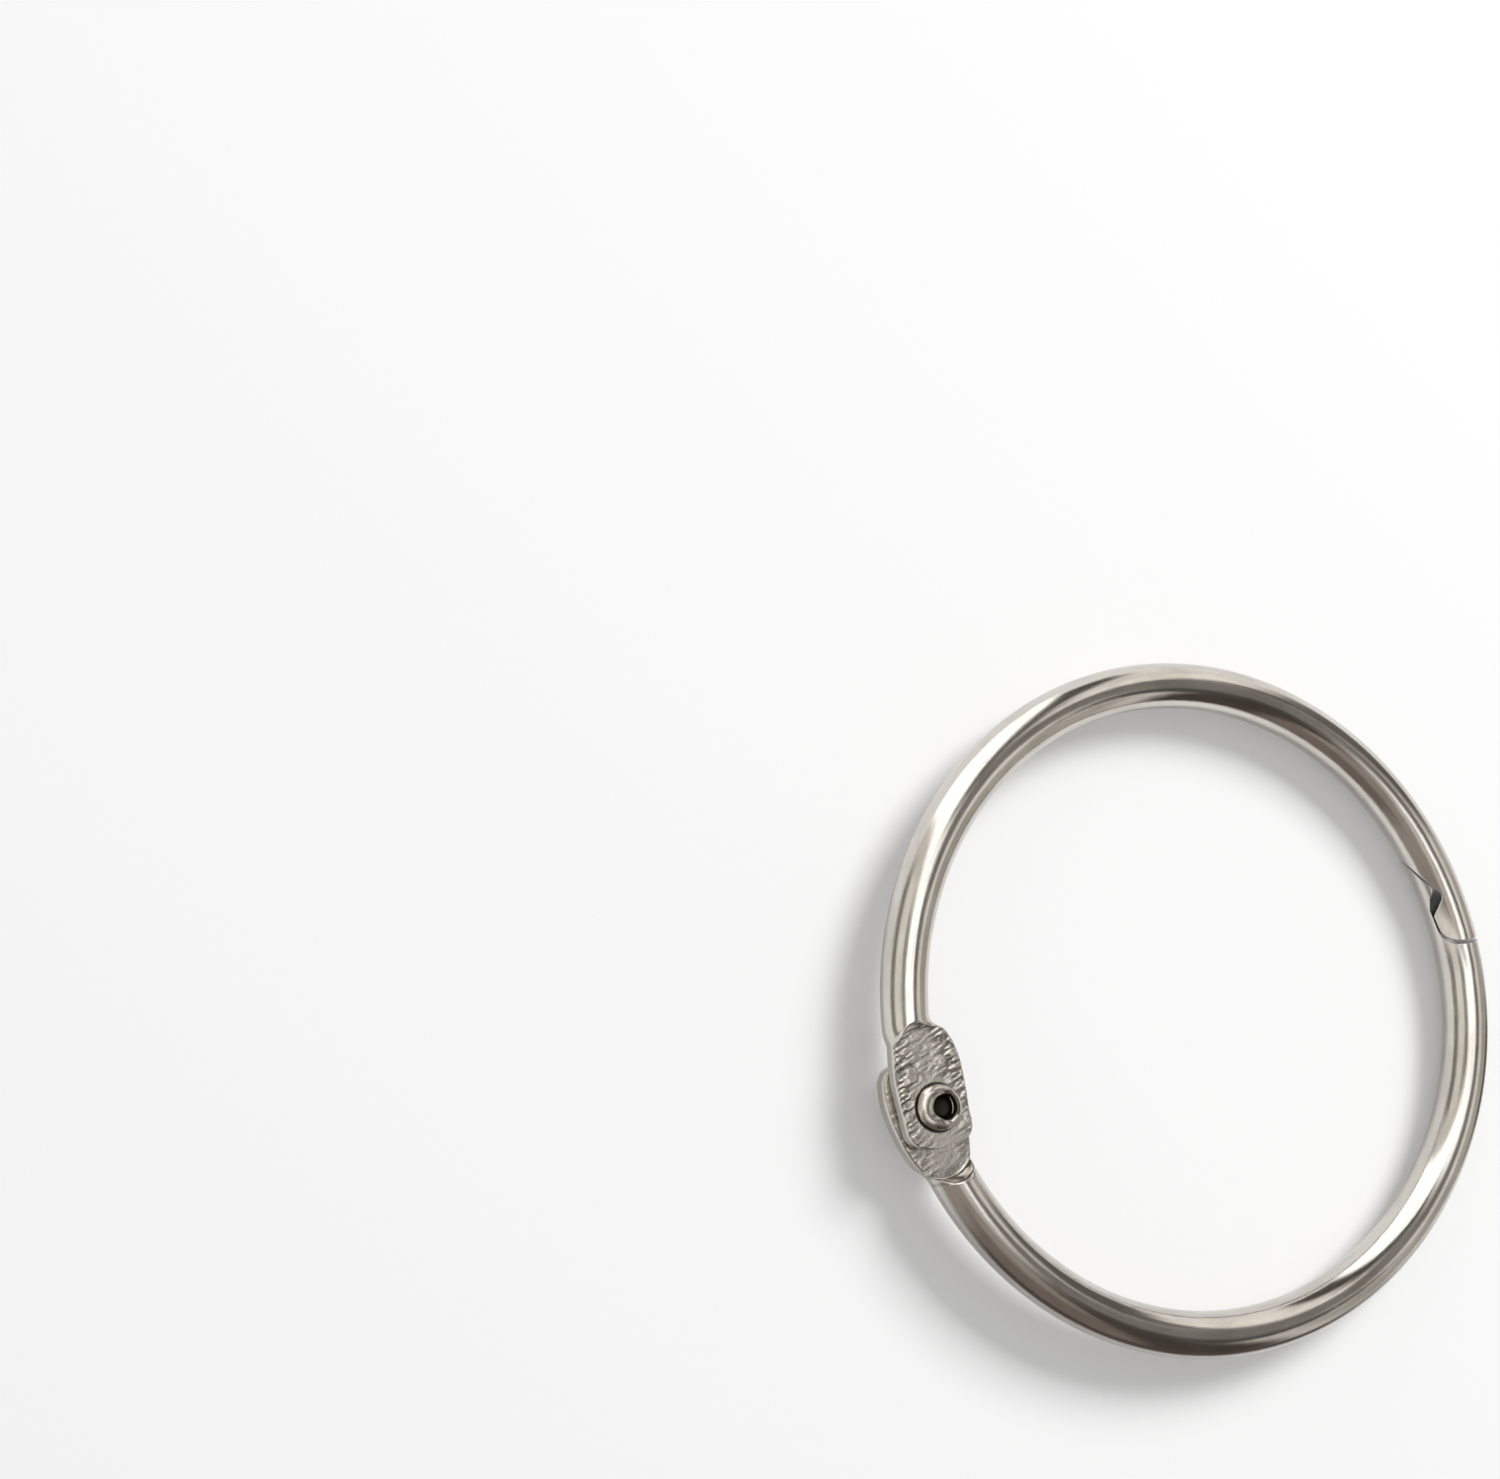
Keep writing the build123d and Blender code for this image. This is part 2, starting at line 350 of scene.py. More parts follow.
def hook_section(side, a, cut):
    """The wire cut near y = a and along the hook's surface, as (x, y, z, 1 on the cut), if any is left."""
    points = torus_section(a, 1, section_start(side))
    points = np.column_stack([points, np.zeros(len(points))])
    s = (points[:, 0] - RING_R) * math.cos(CLASP_LEAN) + points[:, 1] * math.sin(CLASP_LEAN)
    lost = np.flatnonzero(side * (s - cut) < 0)
    if len(points) - len(lost) < FEWEST_POINTS:
        return None
    if len(lost):
        first, last = lost[0], lost[-1]
        ends = []
        for inside, outside in ((first - 1, first), ((last + 1) % len(points), last)):
            t = (cut - s[inside]) / (s[outside] - s[inside])
            ends.append(blend(points[inside], points[outside], t))
        chord = np.linspace(*ends, CHORD_POINTS)
        chord[:, 2] = 1.0
        points = np.vstack([points[:first], chord, points[last + 1:]])
    x, z, sheared = resample(points, AROUND).T
    depth = z * math.cos(CLASP_LEAN) - (x - RING_R) * math.sin(CLASP_LEAN)
    shear = CLASP_SHEAR * ramp(abs(a), *SHEAR_ZONE)
    return np.column_stack([x, a + shear * depth, z, sheared])


def hook_stations(path):
    """Places (a, s) along a hook's outline at equal distances, as far as it cuts the wire."""
    path = walk(path, HOOK_FINE_STEP)
    path = path[(path[:, 0] > -WIRE_R - HOOK_PAST) & (path[:, 0] < WIRE_R)]
    places = walk(path, HOOK_STEP)[:, ::-1]
    return places[(places[:, 0] > HOOK_LOW) & (places[:, 0] < HOOK_HIGH)]


# Half rings

# Rings of the leaf's end face, as shares of its outline, and the first sections, from the leaf's end
END_SCALES = (0.02, 0.2, 0.4, 0.6, 0.75, 0.86, 0.94)
END_DISTANCES = (0.001, 0.006, 0.015, 0.03, 0.05, 0.08, 0.12)

# Where sections start, their spacing and where they end. The leaf's start is measured from its free end, the
# wire's start and spacing are degrees round the ring, and the other places are distances from y = 0
LEAF_START, LEAF_STEP, LEAF_DONE = 0.17, 0.046, 5.9
NECK_START, NECK_STEP, NECK_DONE = 5.95, 0.12, 7.0
WIRE_START, WIRE_STEP, WIRE_DONE = 0.6, 1.7, 5.2
SKEW_TURN = 18           # degrees over which the sections turn from constant y to square across
NEAR_ROWS = 0.2          # sections nearer than this are softened along the wire too

# How pressed a leaf's edges and the cut look beside its faces, and how far before the round wire that ends
EDGE_PRESS, CUT_PRESS = 0.3, 0.6
PRESS_FADE = (0.3, 1.1)

# Relief that shows as a full hollow, how dark its painted shade is, and the reach of the painted shade round
# the rivet's tail and of the bore's edge
HOLLOW_FULL, HOLLOW_SHARE = 0.03, 0.55
TAIL_SHADE_REACH = (0.16, 0.06)
BORE_EDGE = 0.06


def leaf_rows(leaf):
    """Sections at constant y from the leaf's end face to the round wire, and each one's share of leaf."""
    end = leaf.section(END_DISTANCES[0] - leaf.tail)
    centre = np.array([(end[:, 0].min() + end[:, 0].max()) / 2, (leaf.face + leaf.back) / 2])
    sections = [(-leaf.tail, centre + (end - centre) * scale) for scale in END_SCALES]
    near = np.array(END_DISTANCES) - leaf.tail
    flat = np.arange(LEAF_START - leaf.tail, LEAF_DONE, LEAF_STEP)
    neck = np.arange(NECK_START, NECK_DONE, NECK_STEP)
    sections += [(v, leaf.section(v)) for v in np.concatenate([near, flat, neck])]
    rows = [np.insert(ring, 1, leaf.side * v, axis=1) for v, ring in sections]
    smooth, rough = (leaf.round - back for back in PRESS_FADE)
    return rows, [ramp(v, smooth, rough) for v, _ in sections]


def wire_rows(side):
    """Sections of the round wire: square across it in the middle, and at constant y towards both ends."""
    first = math.degrees(math.asin(NECK_DONE / RING_R))
    last = 180 - math.degrees(math.asin(WIRE_DONE / RING_R))
    rows = []
    for turn in np.arange(first + WIRE_START, last, WIRE_STEP):
        begin = -90 + (section_start(side) + 90) * ramp(turn, first, last)
        phi = np.radians(begin) + np.linspace(0, 2 * np.pi, AROUND, endpoint=False)
        out = RING_R + WIRE_R * np.cos(phi)
        skew = 1 - ramp(turn, first, first + SKEW_TURN) + ramp(turn, last - SKEW_TURN, last)
        level = np.arcsin(np.clip(RING_R * math.sin(math.radians(turn)) / out, -1, 1))
        level = np.pi - level if turn < 90 else level
        angle = blend(math.radians(180 - turn), level, skew)
        rows.append(np.column_stack([out * np.cos(angle), side * out * np.sin(angle), WIRE_R * np.sin(phi)]))
    return rows


def hook_rows(side):
    """Sections from the whole wire to the hook's tip, as (x, y, z, 1 on the cut)."""
    path = fillet_path(UPPER_HOOK, UPPER_ROUNDS) if side > 0 else fillet_path(LOWER_HOOK, LOWER_ROUNDS)
    places = list(hook_stations(path))
    if side > 0:
        places = places[::-1]
    lead = np.arange(side * HOOK_LEAD, places[0][0] + side * HOOK_JOIN, -side * HOOK_LEAD_STEP)
    uncut = -2 * WIRE_R * side
    rows = [hook_section(side, a, cut) for a, cut in [(a, uncut) for a in lead] + places]
    return [row for row in rows if row is not None]


def half_ring_grid(leaf):
    """Sections of one half, from leaf's end to hook's tip, and each point's share of leaf and of cut."""
    flat, flat_press = leaf_rows(leaf)
    wire = wire_rows(leaf.side)
    hook = np.array(hook_rows(leaf.side))
    grid = np.concatenate([flat, wire, hook[..., :3]])
    press, sheared = np.zeros(grid.shape[:2]), np.zeros(grid.shape[:2])
    press[:len(flat)] = np.array(flat_press)[:, None]
    sheared[len(flat) + len(wire):] = hook[..., 3]
    return grid, press, sheared


def soften(grid, rounds=2):
    """Rounds every crease a little, around the sections and, where they lie near each other, along them."""
    for _ in range(rounds):
        around = 0.25 * np.roll(grid, 1, 1) + 0.5 * grid + 0.25 * np.roll(grid, -1, 1)
        step = np.linalg.norm(np.diff(around, axis=0), axis=2).mean(1)
        close = np.maximum(step[:-1], step[1:]) < NEAR_ROWS
        grid = around.copy()
        along = 0.25 * around[:-2] + 0.5 * around[1:-1] + 0.25 * around[2:]
        grid[1:-1] = np.where(close[:, None, None], along, around[1:-1])
    return grid


def stamp(grid, leaf):
    """Presses the relief and the rivet's bore into the leaf, and gives its flat faces and its painted light:
    painted shade in the relief's hollows and round the rivet's tail, and values below zero on the relief's
    crests, where the material paints a highlight.
    """
    hollow, flat = np.zeros(grid.shape[:2]), np.zeros(grid.shape[:2])
    for k, row in enumerate(grid):
        v = leaf.side * row[:, 1].mean()
        if row[:, 0].mean() < 0 and -leaf.tail < v < leaf.round:
            face, back = leaf.flatness(row[:, 2])
            away = np.hypot(row[:, 0] - RIVET_X, row[:, 1])
            lift = leaf.relief(row[:, 0], v, row[:, 2])
            # painted shade: a dark ring on the leaf round the rivet's rolled tail
            tail_shade = ramp(away, TAIL_R + TAIL_SHADE_REACH[0], TAIL_R + TAIL_SHADE_REACH[1]) * face
            bore = ramp(away, BORE_R + BORE_EDGE, BORE_R - BORE_EDGE) * face
            # painted shade in the relief's hollows, and below zero on its crests for their painted highlight
            sunk = np.clip(-lift * leaf.side / HOLLOW_FULL, -1, 1)
            hollow[k] = np.maximum(HOLLOW_SHARE * sunk, tail_shade)
            flat[k] = np.maximum(face, back)
            row[:, 2] += lift - leaf.side * BORE_DEPTH * bore
    return hollow, flat


def loop_faces(index):
    """Faces between rows of points that follow each other, each row closed into a loop."""
    a, b = index[:-1], index[1:]
    quads = np.stack([a, np.roll(a, -1, 1), np.roll(b, -1, 1), b], -1).reshape(-1, 4)
    return [tuple(quad) for quad in quads.tolist()]


def make_piece(name, points, faces, **values):
    """Object from points and faces, with a number or a vector for each point for its material to read."""
    mesh = bpy.data.meshes.new(name)
    mesh.from_pydata((points.reshape(-1, 3) * MM).tolist(), [], faces)
    for key, value in values.items():
        vector = value.ndim == points.ndim
        layer = mesh.attributes.new(key, "FLOAT_VECTOR" if vector else "FLOAT", "POINT")
        layer.data.foreach_set("vector" if vector else "value", value.reshape(-1).astype(np.float32))
    work = bmesh.new()
    work.from_mesh(mesh)
    loose = [point for point in work.verts if not point.link_faces]
    bmesh.ops.delete(work, geom=loose, context="VERTS")
    bmesh.ops.recalc_face_normals(work, faces=work.faces)
    work.to_mesh(mesh)
    work.free()
    mesh.shade_smooth()
    return add_object(name, mesh)


def make_half(name, side):
    leaf = Leaf(side)
    grid, press, sheared = half_ring_grid(leaf)
    grid = soften(grid)
    hollow, flat = stamp(grid, leaf)
    index = np.arange(len(grid) * AROUND).reshape(len(grid), AROUND)
    ends = [tuple(index[0][::-1].tolist()), tuple(index[-1].tolist())]
    # the drawn grain reads its place across the wire and its length along it
    length = distances(grid.mean(1))
    radial = np.hypot(grid[..., 0], grid[..., 1]) - RING_R
    grain = np.stack([radial, grid[..., 2], np.repeat(length[:, None], AROUND, 1)], -1)
    return make_piece(
        name, grid, loop_faces(index) + ends,
        grain=grain,
        press=np.maximum(press * blend(EDGE_PRESS, 1, flat), CUT_PRESS * sheared),
        # the cut's walls are painted dark as shade, through hollow
        hollow=np.maximum(hollow, sheared),
    )


# Rivet
HEAD_R, HEAD_HEIGHT = 1.85, 1.6
ROLL_R, ROLL_HEIGHT, ROLL_Z = 0.345, 0.322, 1.5
HEAD_ARC, ROLL_ARC = (-90, -4, 40), (-42, 168, 44)     # degrees from and to, and how many points
SHANK_START, SHANK_POINTS = 0.15, 16
SEAT_MIDDLE, SEAT_END = 0.15, 0.26     # from the shank out along the leaf, under the rolled tail
FINE_EDGE, EDGE = 0.02, 0.05
RIVET_AROUND = 160
LEAN_X, LEAN_Y = 0.36, -0.08     # how far the tail's mouth is off the rivet's axis
DIMPLE = (
    (0.755, 1.48), (0.73, 1.36), (0.66, 1.15), (0.62, 0.98),
    (0.55, 0.87), (0.4, 0.8), (0.22, 0.77), (0.0, 0.765),
)
TAIL_WAVES = ((0.014, 2, 0.7), (0.009, 5, 2.1), (0.006, 9, 0.0))
MOUTH_WAVES = ((0.03, 3, 1.0), (0.012, 5, 0.0))
RISE_WAVES = ((0.012, 3, 0.4), (0.01, 6, 1.9))

# Where the tail's and the mouth's unevenness set in, and how deep the dimple lies before it is painted dark
# as shade
TAIL_HEIGHTS = (1.28, 1.48)
MOUTH_RADII, MOUTH_HEIGHTS = (1.3, 0.8), (0.6, 0.8)
DARK_RADIUS, DARK_FLOOR, DARK_HEIGHTS = 0.85, 0.7, (1.72, 1.47)


def arc(x, z, half_width, half_height, start, end, count):
    angle = np.radians(np.linspace(start, end, count))
    return np.stack([x + half_width * np.cos(angle), z + half_height * np.sin(angle)], 1)


def rivet_profile():
    """Half section as (radius, z) from pole to pole, and how many of its points lie below the tail."""
    under, over = -LEAF_FACE, LEAF_FACE + EDGE
    head = arc(0, under, HEAD_R, HEAD_HEIGHT, *HEAD_ARC)
    shoulder = [(HEAD_R - FINE_EDGE / 2, under - FINE_EDGE), (HEAD_R - EDGE, under)]
    shoulder += [(BORE_R + FINE_EDGE, under), (BORE_R, under + EDGE)]
    shank = [(BORE_R, z) for z in np.linspace(under + SHANK_START, LEAF_FACE, SHANK_POINTS)]
    seat = [(BORE_R + FINE_EDGE, over - FINE_EDGE / 2)]
    seat += [(BORE_R + SEAT_MIDDLE, over), (BORE_R + SEAT_END, over)]
    roll = arc(TAIL_R - ROLL_R, ROLL_Z, ROLL_R, ROLL_HEIGHT, *ROLL_ARC)
    below = len(head) + len(shoulder) + len(shank) + 1
    return np.vstack([head, shoulder, shank, seat, roll, DIMPLE]), below


def make_rivet(name):
    """Half-tubular rivet: a domed head below, and above a tail rolled over round its dimple."""
    profile, below = rivet_profile()
    radius, z = profile.T
    angle = np.linspace(0, 2 * np.pi, RIVET_AROUND, endpoint=False)
    mouth = ramp(radius, *MOUTH_RADII) * ramp(z, *MOUTH_HEIGHTS)
    mouth[:below] = 0.0
    # painted shade: the dimple is painted dark inside this radius and below these heights
    deep = ramp(z, *DARK_HEIGHTS) * (radius < DARK_RADIUS) * (z > DARK_FLOOR)
    radius, z, mouth, deep = (column[:, None] for column in (radius, z, mouth, deep))
    tail = ramp(z, *TAIL_HEIGHTS)
    reach = radius * (1 + tail * waves(angle, TAIL_WAVES) - mouth * waves(angle, MOUTH_WAVES))
    x = RIVET_X + reach * np.cos(angle) + LEAN_X * mouth
    y = reach * np.sin(angle) + LEAN_Y * mouth
    points = np.stack([x, y, z + tail * waves(angle, RISE_WAVES)], -1)
    index = np.arange(points[..., 0].size).reshape(points.shape[:2])
    faces = loop_faces(index[1:-1])
    for pole, ring in ((index[0, 0], index[1]), (index[-1, 0], index[-2])):
        for here, following in zip(ring.tolist(), np.roll(ring, -1).tolist()):
            faces.append((int(pole), here, following))
    # the dimple's painted shade goes to the material both as press and as hollow
    deep = np.repeat(deep, RIVET_AROUND, 1)
    return make_piece(name, points, faces, grain=points, press=deep, hollow=deep)


# Materials
PRESSED_TONE, PRESSED_SHARE = (0.56, 0.53, 0.48), 0.8
# Painted highlight on the relief's crests: its paler tone, its strength, and how much less metallic the
# crests are
CREST_HIGHLIGHT_TONE, CREST_GAIN, CREST_MATTNESS = (0.88, 0.86, 0.8), 1.7, 0.6
# Darkness of the drawn lines, of the dirt specks, and of the painted shade in hollows, on the cut and in the
# rivet's dimple
LINE_DARKNESS, DIRT_DARKNESS, HOLLOW_SHADE_DARKNESS = 0.18, 0.2, 0.97
STAIN_STRETCH = (1.0, 1.0, 0.35)
STAIN_SPAN, LINE_SPAN, DIRT_SPAN, NOISE_SPAN = (0.42, 0.62), (0.3, 0.42), (0.5, 0.75), (0.3, 0.7)

# What the lines, the broad waves and the specks add to the roughness at the two ends of their noise
LINE_ROUGH, BROAD_ROUGH, SPECK_ROUGH = (0.07, -0.03), (-0.03, 0.05), (-0.07, 0.1)

# Bump beside that of the lines, the drawn bump that is left where it was pressed, and its depth in metres
BROAD_BUMP, SPECK_BUMP, PRESSED_BUMP = 1.4, 2.2, 0.2
BUMP_STRENGTH, BUMP_DISTANCE = 0.5, 0.000012


class Nodes:
    """Short way to make and link shader nodes."""

    def __init__(self, tree):
        self.tree = tree

    def add(self, kind, **settings):
        node = self.tree.nodes.new(kind)
        for key, value in settings.items():
            setattr(node, key, value)
        return node

    def link(self, source, target):
        self.tree.links.new(source, target)

    def math(self, operation, *values, clamp=False):
        node = self.add("ShaderNodeMath", operation=operation, use_clamp=clamp)
        for value, socket in zip(values, node.inputs):
            if isinstance(value, (int, float)):
                socket.default_value = value
            else:
                self.link(value, socket)
        return node.outputs[0]

    def attribute(self, name, output):
        return self.add("ShaderNodeAttribute", attribute_name=name).outputs[output]

    def noise(self, vector, scale, detail, rough):
        node = self.add("ShaderNodeTexNoise")
        node.inputs["Scale"].default_value = scale
        node.inputs["Detail"].default_value = detail
        node.inputs["Roughness"].default_value = rough
        self.link(vector, node.inputs["Vector"])
        return node.outputs["Fac"]

    def stretch(self, vector, scale):
        node = self.add("ShaderNodeVectorMath", operation="MULTIPLY")
        self.link(vector, node.inputs[0])
        node.inputs[1].default_value = scale
        return node.outputs[0]

    def range(self, value, span, results):
        """Maps the two ends of a span to two results, and holds them beyond it."""
        node = self.add("ShaderNodeMapRange")
        self.link(value, node.inputs["Value"])
        for key, number in zip(("From Min", "From Max", "To Min", "To Max"), (*span, *results)):
            node.inputs[key].default_value = number
        return node.outputs["Result"]

    def fade(self, value, centre, soft, results=(0.0, 1.0)):
        """Goes from one result to the other across a soft edge."""
        return self.range(value, (centre - soft / 2, centre + soft / 2), results)

    def mix(self, share, a, b):
        node = self.add("ShaderNodeMix", data_type="RGBA")
        self.link(share, node.inputs["Factor"])
        for value, socket in ((a, node.inputs["A"]), (b, node.inputs["B"])):
            if isinstance(value, tuple):
                socket.default_value = (*value, 1.0)
            else:
                self.link(value, socket)
        return node.outputs["Result"]

    def mix_shaders(self, share, a, b):
        node = self.add("ShaderNodeMixShader")
        for source, socket in zip((share, a, b), node.inputs):
            self.link(source, socket)
        return node.outputs[0]


def nickel(name, pale, dull, deep, rough, pressed_rough, grain_stretch, crest_highlight):
    """Bright nickel plating over steel: fine drawn lines, faint stains, and rougher where it was pressed."""
    material = bpy.data.materials.new(name)
    material.use_nodes = True
    n = Nodes(material.node_tree)
    shader = material.node_tree.nodes["Principled BSDF"]
    grain = n.attribute("grain", "Vector")
    press = n.attribute("press", "Fac")
    hollow = n.attribute("hollow", "Fac")
    bright = n.math("SUBTRACT", 1.0, press)
    half_stretch = tuple(0.5 * share for share in grain_stretch)
    lines = n.noise(n.stretch(grain, grain_stretch), scale=9.0, detail=4.0, rough=0.7)
    broad = n.noise(n.stretch(grain, half_stretch), scale=1.6, detail=2.0, rough=0.55)
    stain = n.noise(n.stretch(grain, STAIN_STRETCH), scale=0.55, detail=4.0, rough=0.6)
    speck = n.noise(grain, scale=7.0, detail=4.0, rough=0.75)

    # colour: stains, lines, the pressed skin, its matt crests with a painted highlight, dirt specks where it
    # was pressed, and painted shade in its hollows, on the cut and in the rivet's dimple
    colour = n.mix(n.range(stain, STAIN_SPAN, (0.0, 1.0)), pale, dull)
    colour = n.mix(n.range(lines, LINE_SPAN, (LINE_DARKNESS, 0.0)), colour, deep)
    colour = n.mix(n.math("MULTIPLY", press, PRESSED_SHARE), colour, PRESSED_TONE)
    shader.inputs["Metallic"].default_value = 1.0
    if crest_highlight:
        # painted highlight: the relief's crests are paler and less metallic, so they catch the lamp like
        # glints
        crest = n.math("MULTIPLY", hollow, -CREST_GAIN, clamp=True)
        colour = n.mix(crest, colour, CREST_HIGHLIGHT_TONE)
        n.link(n.math("MULTIPLY_ADD", crest, -CREST_MATTNESS, 1.0), shader.inputs["Metallic"])
    dirt = n.math("MULTIPLY", n.range(speck, DIRT_SPAN, (0.0, DIRT_DARKNESS)), press)
    # dirt specks, and the painted shade that hollow carries
    dark = n.math("MAXIMUM", dirt, n.math("MULTIPLY", hollow, HOLLOW_SHADE_DARKNESS))
    n.link(n.mix(dark, colour, deep), shader.inputs["Base Color"])

    # roughness: fine lines and broad waves on the bright wire, specks where it was pressed
    fine = n.range(lines, NOISE_SPAN, [rough + more for more in LINE_ROUGH])
    smooth = n.math("ADD", fine, n.range(broad, NOISE_SPAN, BROAD_ROUGH))
    worn = n.range(speck, NOISE_SPAN, [pressed_rough + more for more in SPECK_ROUGH])
    both = n.math("ADD", n.math("MULTIPLY", smooth, bright), n.math("MULTIPLY", worn, press))
    n.link(both, shader.inputs["Roughness"])

    # bump: the same lines, waves and specks
    drawn = n.math("ADD", lines, n.math("MULTIPLY", broad, BROAD_BUMP))
    drawn = n.math("MULTIPLY", drawn, n.math("MULTIPLY_ADD", bright, 1 - PRESSED_BUMP, PRESSED_BUMP))
    pitted = n.math("MULTIPLY", speck, n.math("MULTIPLY", press, SPECK_BUMP))
    bump = n.add("ShaderNodeBump")
    bump.inputs["Strength"].default_value = BUMP_STRENGTH
    bump.inputs["Distance"].default_value = BUMP_DISTANCE
    n.link(n.math("ADD", drawn, pitted), bump.inputs["Height"])
    n.link(bump.outputs["Normal"], shader.inputs["Normal"])
    return material


# The pieces
make_camera()

upper = make_half("upper_half_ring_formed", 1)
lower = make_half("lower_half_ring_formed", -1)
rivet = make_rivet("hinge_rivet_formed")

ring_nickel = nickel(
    "ring_nickel_drawn", pale=(0.66, 0.63, 0.585), dull=(0.56, 0.53, 0.485), deep=(0.03, 0.025, 0.022),
    rough=0.06, pressed_rough=0.2, grain_stretch=(1.0, 1.0, 0.02), crest_highlight=True,
)
rivet_nickel = nickel(
    "rivet_nickel_turned", pale=(0.62, 0.585, 0.53), dull=(0.48, 0.45, 0.405), deep=(0.022, 0.018, 0.016),
    rough=0.14, pressed_rough=0.5, grain_stretch=(1.0, 1.0, 1.0), crest_highlight=False,
)
for piece in (upper, lower):
    piece.data.materials.append(ring_nickel)
rivet.data.materials.append(rivet_nickel)
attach(upper, "upper_half")
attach(lower, "lower_half")
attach(rivet, "lower_half")
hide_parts("upper_half_ring")
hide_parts("lower_half_ring")
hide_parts("hinge_rivet")


# Floor, studio and lamp
FLOOR_HALF_SIZE = 450.0
FLOOR_TONE, FLOOR_GLOW = (0.9, 0.9, 0.9, 1), 0.15

# The world's strength as the camera and the metal see it, and as it lights the rest
WORLD_SEEN, WORLD_LIGHT = 1.0, 0.4

# Dark ground as (first, last, soft edge) in degrees round the ring, and its reach from the ring's centre
DARK_GROUNDS = ((-158.0, -62.0, 14.0), (-40.0, -14.0, 7.0))
GROUND_NEAR, GROUND_FULL, GROUND_FAR = 24.5, 31.0, 420.0
GROUND_LIFT = 0.02
GROUND_TONE = (0.1, 0.082, 0.074, 1)

# Backdrop in metres, its panels as (azimuth, half width, low, high, soft edge) in degrees, and their tones
BACKDROP_R = 1.5
BACKDROP_TONE = (1.0, 0.98, 0.94)
PANELS = (
    ((60, 125, 70, 95, 6), (1.7, 1.7, 1.7)),
    ((-120, 60, 72, 95, 8), (0.6, 0.56, 0.52)),
    ((-118, 54, -12, 70, 8), (0.36, 0.325, 0.295)),
    ((-112, 30, -12, 42, 10), (0.22, 0.18, 0.158)),
    ((-80, 14, -12, 62, 6), (0.08, 0.068, 0.062)),
    ((-52, 17, 38, 68, 6), (0.1, 0.094, 0.09)),
    ((10, 62, 50, 69, 5), (0.24, 0.225, 0.215)),
    ((-30, 30, -10, 36, 10), (0.5, 0.475, 0.43)),
    ((12, 12, 8, 50, 6), (0.16, 0.15, 0.135)),
    ((31, 10, 28, 60, 5), (1.1, 1.07, 1.0)),
    ((60, 8, 10, 66, 4), (0.11, 0.1, 0.09)),
    ((91, 22, -5, 75, 4), (1.9, 1.9, 1.86)),
    ((118, 7, 0, 70, 5), (0.8, 0.78, 0.73)),
    ((150, 26, 50, 69, 6), (0.36, 0.35, 0.31)),
    ((150, 26, 28, 50, 6), (0.95, 0.93, 0.87)),
    ((150, 26, -8, 20, 8), (0.3, 0.29, 0.25)),
)


def plain_material(name):
    material = bpy.data.materials.new(name)
    material.use_nodes = True
    material.node_tree.nodes.clear()
    return material, Nodes(material.node_tree)


def seen_directly(n):
    """1 for rays from the camera and for those that metal or glass sends on, and 0 for light on the rest."""
    path = n.add("ShaderNodeLightPath").outputs
    seen = n.math("MAXIMUM", path["Is Camera Ray"], path["Is Glossy Ray"])
    return n.math("MAXIMUM", seen, path["Is Transmission Ray"])


def show_only_to_metal(item):
    for kind in ("camera", "diffuse", "shadow", "transmission", "volume_scatter"):
        setattr(item, "visible_" + kind, False)


def in_degrees(n, operation, *values):
    return n.math("MULTIPLY", n.math(operation, *values), 180 / math.pi)


def make_floor():
    """Pale floor that touches the rivet's head and the wire on the clasp's side, and is clear from below."""
    tilt = math.atan2(-WIRE_R - RIVET_HEAD_LOW, RING_R - RIVET_X)
    size = FLOOR_HALF_SIZE * MM
    corners = [(-size, -size, 0), (size, -size, 0), (size, size, 0), (-size, size, 0)]
    mesh = bpy.data.meshes.new("floor")
    mesh.from_pydata(corners, [], [(0, 1, 2, 3)])
    floor = add_object("floor", mesh)
    touch = Matrix.Translation(Vector((RIVET_X, 0, RIVET_HEAD_LOW)) * MM)
    floor.matrix_world = touch @ Matrix.Rotation(-tilt, 4, "Y")
    material, n = plain_material("floor_white")
    diffuse = n.add("ShaderNodeBsdfDiffuse")
    diffuse.inputs["Color"].default_value = FLOOR_TONE
    glow = n.add("ShaderNodeEmission")
    n.link(n.math("MULTIPLY", seen_directly(n), FLOOR_GLOW), glow.inputs["Strength"])
    both = n.add("ShaderNodeAddShader")
    n.link(diffuse.outputs[0], both.inputs[0])
    n.link(glow.outputs[0], both.inputs[1])
    clear = n.add("ShaderNodeBsdfTransparent").outputs[0]
    below = n.add("ShaderNodeNewGeometry").outputs["Backfacing"]
    sides = n.mix_shaders(below, both.outputs[0], clear)
    n.link(sides, n.add("ShaderNodeOutputMaterial").inputs["Surface"])
    mesh.materials.append(material)
    return floor


